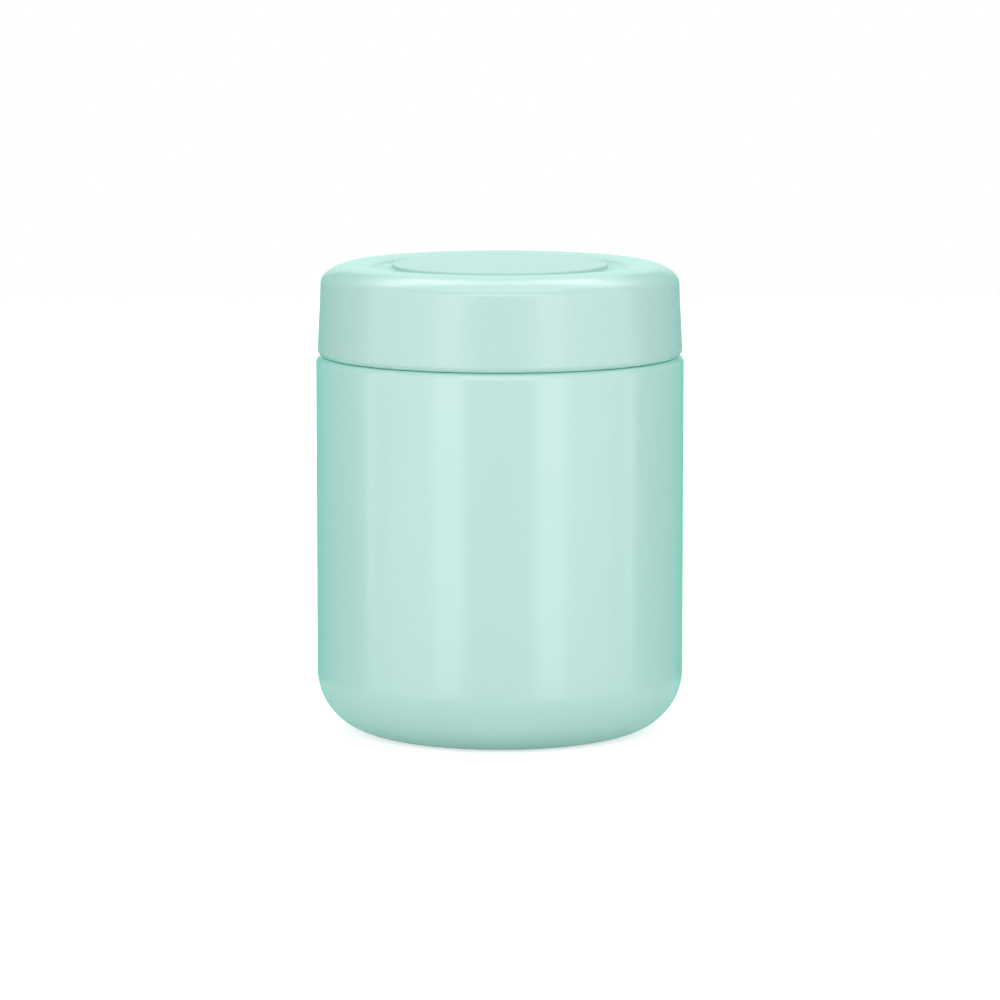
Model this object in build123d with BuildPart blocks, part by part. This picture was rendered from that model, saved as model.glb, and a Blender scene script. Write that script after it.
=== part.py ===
from build123d import *
import os
from math import asin, cos, degrees, pi, radians, sin, sqrt, tan

# Vacuum-insulated food jar with a screw lid.
#
# Millimetres, +Z up. The origin is the centre of the foot, on the surface that the jar stands on.
# The lid is shown screwed down. Its outer cover turns a little on the inner lid, which pushes the
# vent valve open with a click, and only then drives the inner lid round on the neck's threads.

# ---------------------------------------------------------------- driving dimensions
# Painted outer body
body_radius = 47.5
body_wall = 0.5
shoulder_height = 97.5
shoulder_edge = 1.9
corner_radius = 15.6
foot_width = 1.9
foot_edge = 0.7
hem_height = 3.2

# Bottom plate, its evacuation hole and its cap
base_recess = 1.6
base_wall = 0.5
dimple_radius = 5.0
dimple_depth = 0.8
evacuation_hole_radius = 1.0
plug_head_radius = 2.6
plug_head_height = 0.6
cap_radius = 11.0
cap_thickness = 0.6
cap_edge = 0.3

# Food vessel and neck
vacuum_gap = 5.6
base_gap = 4.8
inner_wall = 0.4
vessel_corner = 12.0
vessel_shoulder_drop = 10.0
vessel_shoulder_rise = 5.0
vessel_shoulder_edge = 4.0
neck_inset = 9.5
rim_roll = 1.5
neck_height = 14.7
neck_wall = 0.5
neck_flange_width = 4.5

# Radiation foil and getter
foil_thickness = 0.2
foil_margin = 4.0
getter_radius = 4.0
getter_thickness = 1.6
getter_inset = 12.0
clip_thickness = 0.3
clip_width = 3.0
clip_tab = 2.2

# Screw thread between the neck and the inner lid
thread_starts = 3
thread_pitch = 4.0
bead_height = 1.15
bead_half_width = 1.25
bead_arc = 110.0
bead_low_end = 6.5
ridge_arc = 80.0
ridge_lag = 10.0
ridge_drop = 1.9
ridge_root_width = 1.7
ridge_crest_width = 0.9
ridge_root_sink = 0.5

# Inner lid
plug_gap = 1.4
plug_wall = 1.6
plug_depth = 10.0
plug_floor = 1.8
plug_edge = 2.5
flange_wall = 1.6
skirt_wall = 2.1
skirt_rise = 1.2
catch_thickness = 1.4
catch_rise = 2.25
catch_edge = 0.45
lug_angle = 10.0

# Lid gasket
gasket_body = 1.4
gasket_lip_depth = 3.4
gasket_rib = 0.35
gasket_bead = 0.7

# Lid plate, foam and click ring
plate_seat = 1.0
plate_thickness = 1.2
collar_wall = 1.5
collar_depth = 5.8
click_room = 2.35
click_fingers = 3
click_ring_width = 3.5
click_ring_thickness = 0.9
click_finger_width = 2.2
click_finger_arc = 64.0
click_bump_radius = 0.8
click_rib_margin = 5.0
click_rib_taper = 45.0
click_peg_radius = 1.0

# Outer cover
lid_gap = 0.15
cover_inset = 0.35
cover_draft = 2.9
cover_wall = 2.2
cover_edge = 1.6
top_wall = 1.8
crest_inset = 9.5
crest_arc = 11.6
side_arc = 3.0
roof_corner = 2.5
dish_width = 4.8
dish_depth = 0.85
moat_width = 5.0
moat_depth = 1.8
moat_low_point = 2.25
lug_rib_angle = 4.0
bearing_rib_width = 1.4
ring_rebate = 0.4
ring_height = 1.5
ring_chamfer = 0.3
ring_lift = 0.3

# Disc in the top of the cover
disc_seat_wall = 1.2
disc_drop = 0.2
disc_stand = 0.8
disc_edge = 0.45

# Vent valve and its cam
click_angle = 40.0
valve_travel = 1.8
stem_radius = 2.5
stem_tip_radius = 1.5
stem_barb_radius = 2.3
stem_barb_height = 0.9
stem_barb_chamfer = 0.45
boss_wall = 1.6
boss_height = 2.2
spring_height = 4.2
spring_wire = 0.3
spring_turns = 3
hub_radius = 5.0
hub_thickness = 1.4
arm_width = 3.0
cam_count = 3
follower_radius = 0.8
cam_inner_radius = 8.8
cam_wall = 2.4
cam_lead_in = 5.0
cam_run_out = 8.0
cam_ramp_depth = 3.2
cam_flange_width = 2.2
cam_flange_thickness = 1.2
vent_radius = 7.0
vent_thickness = 1.2
vent_edge = 0.4
vent_lip_height = 0.3
vent_lip_width = 1.0

# Fits
touch = 0.05
sliding = 0.15
running = 0.3

# ---------------------------------------------------------------- levels and radii that follow
rim_height = shoulder_height + neck_height
neck_radius = body_radius - neck_inset
mouth_radius = neck_radius - 2 * rim_roll
neck_top = rim_height - rim_roll
hem_radius = body_radius - corner_radius - foot_width
getter_offset = hem_radius - getter_inset
base_top = base_recess + base_wall
vessel_radius = body_radius - body_wall - vacuum_gap
vessel_floor = base_top + base_gap + inner_wall
vessel_shoulder = shoulder_height - vessel_shoulder_drop

flange_bottom = rim_height + gasket_body + 2 * touch
flange_top = flange_bottom + flange_wall
roof_level = flange_top + click_room
cover_top = roof_level + top_wall + moat_depth
cover_bottom = shoulder_height + lid_gap

thread_lead = thread_starts * thread_pitch
skirt_root = neck_radius + bead_height + running
ridge_crest = neck_radius + running
skirt_radius = skirt_root + skirt_wall
skirt_bottom = shoulder_height + skirt_rise
catch_bottom = shoulder_height + catch_rise
catch_top = catch_bottom + catch_thickness
plug_radius = mouth_radius - plug_gap
plug_inner = plug_radius - plug_wall
plug_bottom = rim_height - plug_depth
floor_top = plug_bottom + plug_floor
plate_bottom = flange_top - plate_thickness
peg_circle = plug_inner - click_ring_width / 2
finger_radius = plug_inner - click_ring_width - running - click_finger_width / 2
click_level = flange_top + click_ring_thickness

cover_radius = body_radius - cover_inset
crest_radius = cover_radius - crest_inset
moat_outer = crest_radius - dish_width
moat_inner = moat_outer - moat_width
disc_top = cover_top - disc_drop
disc_foot = disc_top - disc_stand
disc_seat = roof_level + disc_seat_wall
outer_roof = cover_top - top_wall


def cover_inside(height):
    """Radius of the cover's drafted inner wall at a height."""
    return cover_radius - cover_wall - (height - cover_bottom) * tan(radians(cover_draft))


lug_radius = cover_inside(outer_roof) - running
catch_radius = lug_radius + sliding

boss_top = floor_top + boss_height
hub_bottom = boss_top + spring_height
hub_top = hub_bottom + hub_thickness
cam_outer_radius = cam_inner_radius + cam_wall
cam_middle_radius = cam_inner_radius + cam_wall / 2
collar_inner = cam_outer_radius + running
collar_outer = collar_inner + collar_wall
arm_reach = collar_inner + collar_wall / 2
cam_lead = valve_travel * 360 / click_angle
vent_top = plug_bottom - sliding / 2 - vent_lip_height


def half_plane(angle):
    """Vertical plane through the jar's axis, with its x axis running outwards at the angle."""
    turn = radians(angle)
    return Plane((0, 0, 0), x_dir=(cos(turn), sin(turn), 0), z_dir=(sin(turn), -cos(turn), 0))


def section(inner, outer, bottom, top, mode=Mode.ADD):
    """Rectangle of a turned piece, between two radii and two levels."""
    with Locations((inner, bottom)):
        Rectangle(outer - inner, top - bottom, align=(Align.MIN, Align.MIN), mode=mode)


# ---------------------------------------------------------------- jar: painted outer shell
with BuildPart() as body_shell:
    with BuildSketch(Plane.XZ):
        with BuildLine():
            FilletPolyline(
                (neck_radius + touch, shoulder_height),
                (body_radius, shoulder_height),
                (body_radius, 0),
                (hem_radius, 0),
                (hem_radius, hem_height),
                radius=[shoulder_edge, corner_radius, foot_edge],
            )
            offset(amount=body_wall, side=Side.RIGHT)
        make_face()
    revolve(axis=Axis.Z)

# ---------------------------------------------------------------- jar: recessed bottom plate
with BuildPart() as base_plate:
    with BuildSketch(Plane.XZ):
        with BuildLine():
            FilletPolyline(
                (evacuation_hole_radius, base_recess + dimple_depth),
                (dimple_radius, base_recess + dimple_depth),
                (dimple_radius + 2 * dimple_depth, base_recess),
                (hem_radius - touch, base_recess),
                (hem_radius - touch, hem_height),
                radius=[dimple_depth, dimple_depth, foot_edge + base_wall],
            )
            offset(amount=base_wall, side=Side.LEFT)
        make_face()
    revolve(axis=Axis.Z)

# Brazed plug that closes the evacuation hole from below
with BuildPart() as seal_plug:
    with BuildSketch(Plane.XZ):
        head_top = base_recess + dimple_depth
        section(0, plug_head_radius, head_top - plug_head_height, head_top)
        section(0, evacuation_hole_radius - touch, head_top - plug_head_height, base_top)
    revolve(axis=Axis.Z)

# Round cap that hides the plug
with BuildPart() as base_cap:
    with BuildSketch(Plane.XY.offset(base_recess)):
        Circle(cap_radius)
    extrude(amount=-cap_thickness)
    fillet(base_cap.edges().group_by(Axis.Z)[0], radius=cap_edge)

# ---------------------------------------------------------------- jar: food vessel with rolled rim
with BuildPart() as inner_vessel:
    with BuildSketch(Plane.XZ):
        with BuildLine():
            wall_line = FilletPolyline(
                (0, vessel_floor),
                (vessel_radius - inner_wall, vessel_floor),
                (vessel_radius - inner_wall, vessel_shoulder),
                (mouth_radius, vessel_shoulder + vessel_shoulder_rise),
                (mouth_radius, neck_top),
                radius=[vessel_corner, vessel_shoulder_edge, vessel_shoulder_edge],
            )
            ThreePointArc(wall_line @ 1, (mouth_radius + rim_roll, rim_height), (neck_radius, neck_top))
            offset(amount=inner_wall, side=Side.RIGHT)
        make_face()
    revolve(axis=Axis.Z)

# Radiation foil wrapped round the vessel, inside the vacuum
with BuildPart() as foil_wrap:
    with BuildSketch(Plane.XY.offset(vessel_floor + vessel_corner)):
        Circle(vessel_radius + touch + foil_thickness)
        Circle(vessel_radius + touch, mode=Mode.SUBTRACT)
    extrude(amount=vessel_shoulder - foil_margin - vessel_floor - vessel_corner)

# Getter pellet, which keeps the vacuum, and the strap welded over it
with BuildPart() as getter_pellet:
    with BuildSketch(Plane.XY.offset(base_top)):
        with Locations((getter_offset, 0)):
            Circle(getter_radius)
    extrude(amount=getter_thickness)

with BuildPart() as getter_clip:
    with BuildSketch(Plane.YZ.offset(getter_offset - clip_width / 2)):
        with BuildLine():
            Polyline(
                (-getter_radius - touch - clip_tab, base_top),
                (-getter_radius - touch, base_top),
                (-getter_radius - touch, base_top + getter_thickness + touch),
                (getter_radius + touch, base_top + getter_thickness + touch),
                (getter_radius + touch, base_top),
                (getter_radius + touch + clip_tab, base_top),
            )
            offset(amount=clip_thickness, side=Side.LEFT)
        make_face()
    extrude(amount=clip_width)

# ---------------------------------------------------------------- jar: neck with rolled thread beads
with BuildPart() as neck_bead:
    with BuildLine() as bead_path:
        Helix(thread_lead, thread_lead * bead_arc / 360, neck_radius - neck_wall / 2)
    bead_start = Plane(bead_path.line @ 0, x_dir=(1, 0, 0), z_dir=bead_path.line % 0)
    with BuildSketch(bead_start):
        with BuildLine():
            ThreePointArc(
                (0, -bead_half_width),
                (bead_height + neck_wall / 2, 0),
                (0, bead_half_width),
            )
            Line((0, bead_half_width), (0, -bead_half_width))
        make_face()
    sweep(path=bead_path.line, is_frenet=True)

with BuildPart() as neck_sleeve:
    with BuildSketch(Plane.XZ):
        with BuildLine():
            Polyline(
                (neck_radius + neck_flange_width, shoulder_height - body_wall),
                (neck_radius, shoulder_height - body_wall),
                (neck_radius, neck_top),
            )
            offset(amount=neck_wall, side=Side.LEFT)
        make_face()
    revolve(axis=Axis.Z)
    with Locations((0, 0, shoulder_height + bead_low_end)):
        with PolarLocations(0, thread_starts):
            add(neck_bead.part)

# ---------------------------------------------------------------- lid gasket
with BuildPart() as lid_gasket:
    with BuildSketch(Plane.XZ):
        section(
            plug_radius + sliding,
            neck_radius - running,
            rim_height + touch,
            rim_height + touch + gasket_body,
        )
        section(
            plug_radius + sliding,
            mouth_radius - sliding - gasket_rib,
            rim_height - gasket_lip_depth,
            rim_height + touch + gasket_body,
        )
        with Locations(
            (mouth_radius - sliding - gasket_rib, neck_top - gasket_rib),
            (mouth_radius - sliding - gasket_rib, rim_height - gasket_lip_depth + gasket_rib),
        ):
            Circle(gasket_rib)
    revolve(axis=Axis.Z)

# ---------------------------------------------------------------- inner lid: plug, flange and skirt
with BuildPart() as lid_ridge:
    with BuildLine() as ridge_path:
        Helix(thread_lead, thread_lead * ridge_arc / 360, skirt_root)
    ridge_start = Plane(ridge_path.line @ 0, x_dir=(1, 0, 0), z_dir=ridge_path.line % 0)
    with BuildSketch(ridge_start):
        with BuildLine():
            Polyline(
                (ridge_root_sink, -ridge_root_width / 2),
                (0, -ridge_root_width / 2),
                (ridge_crest - skirt_root, -ridge_crest_width / 2),
                (ridge_crest - skirt_root, ridge_crest_width / 2),
                (0, ridge_root_width / 2),
                (ridge_root_sink, ridge_root_width / 2),
                close=True,
            )
        make_face()
    sweep(path=ridge_path.line, is_frenet=True)

with BuildPart() as inner_lid:
    with BuildSketch(Plane.XZ) as inner_lid_section:
        section(0, plug_radius, plug_bottom, flange_top)
        fillet(
            inner_lid_section.vertices().group_by(Axis.Y)[0].sort_by(Axis.X)[-1],
            radius=plug_edge,
        )
        section(0, plug_inner, floor_top, flange_top, mode=Mode.SUBTRACT)
        section(plug_inner, skirt_radius, flange_bottom, flange_top)
        section(skirt_root, skirt_radius, skirt_bottom, flange_top)
        section(skirt_root, catch_radius, catch_bottom, catch_top)
        section(0, stem_radius + sliding + boss_wall, floor_top, boss_top)
        with Locations((plug_radius, rim_height - gasket_lip_depth - gasket_bead - touch)):
            Circle(gasket_bead)
        section(0, plug_inner + plate_seat, plate_bottom, flange_top, mode=Mode.SUBTRACT)
        section(0, stem_radius + sliding, plug_bottom, boss_top, mode=Mode.SUBTRACT)
        fillet(inner_lid_section.vertices().sort_by(Axis.X)[-2:], radius=catch_edge)
    revolve(axis=Axis.Z)
    ridge_height = shoulder_height + bead_low_end + thread_lead * ridge_lag / 360 - ridge_drop
    with Locations((0, 0, ridge_height)):
        with PolarLocations(0, thread_starts, start_angle=ridge_lag):
            add(lid_ridge.part)
    for turn in range(thread_starts):
        with BuildSketch(half_plane(turn * 360 / thread_starts - lug_angle / 2)):
            section(
                skirt_root + skirt_wall / 2,
                lug_radius,
                catch_bottom + catch_thickness / 2,
                flange_top,
            )
        revolve(axis=Axis.Z, revolution_arc=lug_angle)

# Foam that fills the plug round the valve
with BuildPart() as foam_ring:
    with BuildSketch(Plane.XY.offset(floor_top)):
        Circle(plug_inner - running)
        Circle(collar_outer + running, mode=Mode.SUBTRACT)
    extrude(amount=plate_bottom - touch - floor_top)

# Plate that closes the plug; its slotted collar keeps the stem's arms from turning
with BuildPart() as lid_plate:
    with BuildSketch(Plane.XZ):
        section(collar_inner, plug_inner + plate_seat - touch, plate_bottom, flange_top)
        section(collar_inner, collar_outer, plate_bottom - collar_depth, flange_top)
    revolve(axis=Axis.Z)
    slot_top = hub_top + running
    with BuildSketch(Plane.XY.offset(slot_top)):
        with PolarLocations(0, cam_count):
            Rectangle(
                2 * collar_outer,
                arm_width + 2 * running,
                align=(Align.MIN, Align.CENTER),
            )
    extrude(amount=plate_bottom - collar_depth - slot_top, mode=Mode.SUBTRACT)
    with BuildSketch(Plane.XY.offset(flange_top)):
        with PolarLocations(peg_circle, click_fingers, start_angle=180 / click_fingers):
            Circle(click_peg_radius)
    extrude(amount=click_ring_thickness)

# Ring with three springy fingers; each ends in a bump that clicks past the ribs in the cover
with BuildPart() as click_bump:
    with BuildSketch(Plane.YZ.offset(finger_radius - click_finger_width / 2)):
        with Locations((0, click_level)):
            Circle(click_bump_radius)
    extrude(amount=click_finger_width)

with BuildPart() as click_ring:
    with BuildSketch(Plane.XY.offset(flange_top)):
        Circle(plug_inner)
        Circle(plug_inner - click_ring_width, mode=Mode.SUBTRACT)
        with PolarLocations(peg_circle, click_fingers, start_angle=180 / click_fingers):
            Circle(click_peg_radius + touch, mode=Mode.SUBTRACT)
        with PolarLocations(0, click_fingers):
            SlotArc(
                CenterArc((0, 0), finger_radius, 0, click_finger_arc, mode=Mode.PRIVATE),
                click_finger_width,
            )
        with PolarLocations(finger_radius, click_fingers, start_angle=click_finger_arc):
            Rectangle(
                click_finger_width + running,
                click_finger_width,
                align=(Align.MIN, Align.CENTER),
            )
    extrude(amount=click_ring_thickness)
    with PolarLocations(0, click_fingers):
        add(click_bump.part)

# ---------------------------------------------------------------- outer cover of the lid
# The top's edge is a small arc at the side and a larger one that runs out level at the crest.
draft = radians(cover_draft)
side_line = cover_radius * cos(draft) + cover_bottom * sin(draft)
reach = side_line - side_arc - crest_radius * cos(draft) - (cover_top - crest_arc) * sin(draft)
crest_turn = asin(reach / (crest_arc - side_arc)) - draft
side_centre = (
    crest_radius + (crest_arc - side_arc) * sin(crest_turn),
    cover_top - crest_arc + (crest_arc - side_arc) * cos(crest_turn),
)

with BuildPart() as lid_cover:
    with BuildSketch(Plane.XZ) as cover_section:
        with BuildLine():
            crest = CenterArc(
                (crest_radius, cover_top - crest_arc),
                crest_arc,
                90,
                -degrees(crest_turn),
            )
            shoulder = CenterArc(
                side_centre,
                side_arc,
                90 - degrees(crest_turn),
                degrees(crest_turn) + cover_draft - 90,
            )
            Polyline(
                shoulder @ 1,
                (cover_radius, cover_bottom),
                (0, cover_bottom),
                (0, disc_foot),
                (moat_inner, disc_foot),
            )
            moat = ThreePointArc(
                (moat_inner, disc_foot),
                (moat_inner + moat_low_point, cover_top - moat_depth),
                (moat_outer, cover_top - dish_depth),
            )
            TangentArc(crest @ 0, moat @ 1, tangent=(-1, 0))
        make_face()
        fillet(
            cover_section.vertices().group_by(Axis.Y)[0].sort_by(Axis.X)[-1],
            radius=cover_edge,
        )
        section(0, moat_inner, disc_seat, disc_foot, mode=Mode.SUBTRACT)
        with BuildLine():
            FilletPolyline(
                (0, cover_bottom),
                (cover_inside(cover_bottom), cover_bottom),
                (cover_inside(outer_roof), outer_roof),
                (moat_outer + top_wall, outer_roof),
                (moat_outer, roof_level),
                (0, roof_level),
                radius=[0, roof_corner, 0, 0],
            )
            Line((0, roof_level), (0, cover_bottom))
        make_face(mode=Mode.SUBTRACT)
        ring_top = cover_bottom + ring_lift + ring_height
        rebate = cover_inside(cover_bottom) + ring_rebate
        section(0, rebate, cover_bottom, ring_top, mode=Mode.SUBTRACT)
        section(crest_radius - bearing_rib_width, crest_radius, flange_top + running, outer_roof)
    revolve(axis=Axis.Z)
    # Ribs that take hold of the inner lid's lugs: one to screw the lid down, one to unscrew it
    for turn in range(thread_starts):
        lug = turn * 360 / thread_starts
        play = degrees(running / lug_radius)
        for start in (
            lug + lug_angle / 2 + play,
            lug - lug_angle / 2 - play - click_angle - lug_rib_angle,
        ):
            with BuildSketch(half_plane(start)):
                section(
                    skirt_radius + running,
                    cover_inside(outer_roof) + cover_wall / 2,
                    catch_top + running,
                    outer_roof - roof_corner,
                )
            revolve(axis=Axis.Z, revolution_arc=lug_rib_angle)
    # Ribs under the roof that the bumps click past at each end of the cover's free turn
    rib_drop = roof_level - (click_level + click_bump_radius + sliding)
    for angle in (-click_rib_margin, click_rib_margin - click_angle):
        with BuildSketch(Plane.XY.offset(roof_level)):
            with PolarLocations(finger_radius, click_fingers, start_angle=angle):
                Rectangle(click_finger_width, 2 * click_bump_radius)
        extrude(amount=-rib_drop, taper=click_rib_taper)

# Disc set flush into the top
with BuildPart() as top_disc:
    with BuildSketch(Plane.XY.offset(disc_seat)):
        Circle(moat_inner - touch)
    extrude(amount=disc_top - disc_seat)
    fillet(top_disc.edges().group_by(Axis.Z)[-1], radius=disc_edge)

# Ring snapped into the cover's rebate, under the inner lid's catch
with BuildPart() as retaining_ring:
    with BuildSketch(Plane.XZ):
        section(skirt_radius + running, rebate - touch, ring_top - ring_height, ring_top)
    revolve(axis=Axis.Z)
    chamfer(retaining_ring.edges().group_by(Axis.Z)[0], length=ring_chamfer)

# ---------------------------------------------------------------- cam that opens the vent valve
# A follower is a round-topped rib on a stem arm, so a ramp meets it off its centre line.
ramp_slope = cam_lead / (2 * pi * cam_middle_radius)
follower_top = hub_top + follower_radius * sqrt(1 + ramp_slope**2)
ramp_angle = cam_lead_in + click_angle + cam_run_out
ramp_start = follower_top + sliding - cam_lead * (click_angle + cam_lead_in) / 360
with BuildPart() as cam_ramp:
    with BuildLine() as ramp_path:
        Helix(cam_lead, cam_lead * ramp_angle / 360, cam_middle_radius)
    ramp_plane = Plane(ramp_path.line @ 0, x_dir=(1, 0, 0), z_dir=ramp_path.line % 0)
    with BuildSketch(ramp_plane):
        Rectangle(cam_wall - 2 * touch, cam_ramp_depth, align=(Align.CENTER, Align.MAX))
    sweep(path=ramp_path.line, is_frenet=True)

with BuildPart() as cam_ring:
    with BuildSketch(Plane.XZ):
        section(
            cam_inner_radius,
            cam_outer_radius + cam_flange_width,
            roof_level - cam_flange_thickness,
            roof_level,
        )
        section(
            cam_inner_radius,
            cam_outer_radius,
            follower_top + cam_lead * cam_run_out / 360 + running,
            roof_level,
        )
    revolve(axis=Axis.Z)
    with Locations((0, 0, ramp_start)):
        with PolarLocations(0, cam_count, start_angle=-click_angle - cam_lead_in):
            add(cam_ramp.part)

# ---------------------------------------------------------------- vent valve
with BuildPart() as stem_arm:
    with BuildSketch(Plane.XY.offset(hub_bottom)):
        Rectangle(arm_reach, arm_width, align=(Align.MIN, Align.CENTER))
    extrude(amount=hub_thickness)
    with BuildSketch(Plane.YZ.offset(cam_inner_radius)):
        with Locations((0, hub_top)):
            Circle(follower_radius)
    extrude(amount=cam_wall)

with BuildPart() as valve_stem:
    with BuildSketch(Plane.XZ):
        section(0, hub_radius, hub_bottom, hub_top)
        section(0, stem_radius, vent_top, hub_top)
        section(0, stem_tip_radius, vent_top - vent_thickness - stem_barb_height, vent_top)
        section(
            0,
            stem_barb_radius,
            vent_top - vent_thickness - stem_barb_height,
            vent_top - vent_thickness,
        )
    revolve(axis=Axis.Z)
    chamfer(valve_stem.edges().group_by(Axis.Z)[0], length=stem_barb_chamfer)
    with PolarLocations(0, cam_count):
        add(stem_arm.part)

with BuildPart() as valve_gasket:
    with BuildSketch(Plane.XZ) as vent_section:
        section(stem_tip_radius + touch, vent_radius, vent_top - vent_thickness, vent_top)
        fillet(vent_section.vertices().sort_by(Axis.X)[-2:], radius=vent_edge)
        section(
            vent_radius - 2 * vent_lip_width,
            vent_radius - vent_lip_width,
            vent_top - vent_thickness / 2,
            vent_top + vent_lip_height,
        )
    revolve(axis=Axis.Z)

# Coil spring between the boss and the stem's hub
with BuildPart() as valve_spring:
    coil_height = spring_height - 2 * spring_wire - 2 * touch
    with BuildLine() as coil:
        Helix(
            coil_height / spring_turns,
            coil_height,
            stem_radius + sliding + boss_wall / 2,
            center=(0, 0, boss_top + spring_wire + touch),
        )
    with BuildSketch(Plane(coil.line @ 0, z_dir=coil.line % 0)):
        Circle(spring_wire)
    sweep(path=coil.line, is_frenet=True)

# ---------------------------------------------------------------- named pieces
pieces = {
    "body_shell": body_shell,
    "base_plate": base_plate,
    "seal_plug": seal_plug,
    "base_cap": base_cap,
    "inner_vessel": inner_vessel,
    "foil_wrap": foil_wrap,
    "getter_pellet": getter_pellet,
    "getter_clip": getter_clip,
    "neck_sleeve": neck_sleeve,
    "lid_gasket": lid_gasket,
    "inner_lid": inner_lid,
    "foam_ring": foam_ring,
    "lid_plate": lid_plate,
    "click_ring": click_ring,
    "lid_cover": lid_cover,
    "top_disc": top_disc,
    "retaining_ring": retaining_ring,
    "cam_ring": cam_ring,
    "valve_stem": valve_stem,
    "valve_gasket": valve_gasket,
    "valve_spring": valve_spring,
}
os.makedirs("parts", exist_ok=True)
for name, piece in pieces.items():
    piece.part.label = name
    export_step(piece.part, f"parts/{name}.step")
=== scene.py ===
import math

import bmesh
import bpy
from mathutils import Matrix, Vector


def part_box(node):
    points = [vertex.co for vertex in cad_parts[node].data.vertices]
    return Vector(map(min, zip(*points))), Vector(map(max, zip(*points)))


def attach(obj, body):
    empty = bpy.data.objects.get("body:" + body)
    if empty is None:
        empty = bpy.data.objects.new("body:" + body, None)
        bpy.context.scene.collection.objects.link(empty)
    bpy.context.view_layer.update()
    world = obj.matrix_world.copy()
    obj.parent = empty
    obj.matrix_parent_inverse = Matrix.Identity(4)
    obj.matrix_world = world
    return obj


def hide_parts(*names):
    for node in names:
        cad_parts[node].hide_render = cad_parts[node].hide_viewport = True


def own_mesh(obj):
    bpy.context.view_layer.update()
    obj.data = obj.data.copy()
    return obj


# Insulated food jar: the looks of its painted body, mint lid, bare steel neck and vessel, seal and valve.
# Every length is in metres. A turned piece is drawn as half a section, (radius, height), and spun by a
# Geometry Nodes tree. A second tree copies ribs round the jar's axis, and a third runs threads up it.

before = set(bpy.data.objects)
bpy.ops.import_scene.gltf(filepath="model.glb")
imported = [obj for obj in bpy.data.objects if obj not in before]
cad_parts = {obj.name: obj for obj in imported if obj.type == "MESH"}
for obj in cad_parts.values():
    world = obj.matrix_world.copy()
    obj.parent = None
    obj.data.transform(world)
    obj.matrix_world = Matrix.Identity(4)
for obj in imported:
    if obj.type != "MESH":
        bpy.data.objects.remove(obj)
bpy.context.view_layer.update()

mm = 0.001

# ------------------------------------------------------------------ sizes
body_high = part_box("body_shell")[1]
cover_low, cover_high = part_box("lid_cover")
disc_low, disc_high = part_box("top_disc")
rim_low, rim_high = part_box("inner_vessel")

# gaps between pieces: faces that touch, that slide in each other and that run clear
touch = 0.05 * mm
sliding = 0.15 * mm
running = 0.3 * mm

# flat faces that a turned piece has round the axis
body_segments = 320
vessel_segments = 288
lid_segments = 256
vent_segments = 128

# painted body
body_radius = body_high.x
shoulder_height = body_high.z
body_wall = 0.5 * mm
shoulder_edge = 1.9 * mm
groove_step = 0.05 * mm
corner_radius = 15.6 * mm
foot_width = 1.9 * mm
foot_edge = 0.7 * mm
hem_height = 3.2 * mm
hem_radius = body_radius - corner_radius - foot_width

# bottom plate and its cap
base_recess = 1.6 * mm
base_wall = 0.5 * mm
dimple_radius = 5.0 * mm
dimple_depth = 0.8 * mm
hole_radius = 1.0 * mm
cap_edge = 0.3 * mm
cap_lip = 0.12 * mm
cap_lip_foot = 1.6 * mm
cap_lip_head = 1.2 * mm
cap_lip_blend = 3 * mm

# food vessel and neck
rim_height = rim_high.z
vessel_radius = rim_high.x
vessel_wall = 0.4 * mm
vessel_floor = rim_low.z + vessel_wall
vessel_corner = 12.0 * mm
vessel_shoulder = shoulder_height - 10.0 * mm
vessel_rise = 5.0 * mm
vessel_edge = 4.0 * mm
rim_roll = 1.5 * mm
neck_radius = body_radius - 9.5 * mm
neck_top = rim_height - rim_roll
mouth_radius = neck_radius - 2 * rim_roll
neck_wall = 0.5 * mm
neck_flange = 4.5 * mm

# thread, and its beads on the neck
thread_starts = 3
thread_lead = 12.0 * mm
bead_height = 1.15 * mm
bead_half_width = 1.25 * mm
bead_arc = 110.0
bead_low_end = shoulder_height + 6.5 * mm

# seal ring
gasket_body = 1.4 * mm
gasket_lip_depth = 3.4 * mm
gasket_rib = 0.35 * mm
gasket_edge = 0.3 * mm

# outer cover and the disc in its top
cover_bottom = cover_low.z
cover_top = cover_high.z
cover_radius = body_radius - 0.35 * mm
cover_draft = math.radians(2.9)
cover_wall = 2.2 * mm
cover_edge = 1.6 * mm
top_wall = 1.8 * mm
crest_radius = cover_radius - 9.5 * mm
crest_arc = 11.6 * mm
side_arc = 3.0 * mm
roof_corner = 2.5 * mm
disc_radius = disc_high.x
moat_inner = disc_radius + touch
moat_outer = crest_radius - 4.8 * mm
moat_depth = 1.8 * mm
moat_low_point = 2.25 * mm
dish_depth = 0.85 * mm
disc_seat = disc_low.z
disc_top = disc_high.z
disc_foot = disc_top - 0.8 * mm
disc_edge = 0.45 * mm
outer_roof = cover_top - top_wall
roof_level = cover_top - top_wall - moat_depth
flange_top = roof_level - 2.35 * mm
bearing_rib_width = 1.4 * mm
bearing_rib_root = 0.4 * mm
bearing_rib_edge = 0.3 * mm
moat_wall_bend = 1.0 * mm
rib_sink = 0.5 * mm
rebate_edge = 0.1 * mm

# snap ring
ring_rebate = 0.4 * mm
ring_foot = cover_bottom + 0.3 * mm
ring_top = cover_bottom + 1.8 * mm
ring_edge = 0.25 * mm

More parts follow.
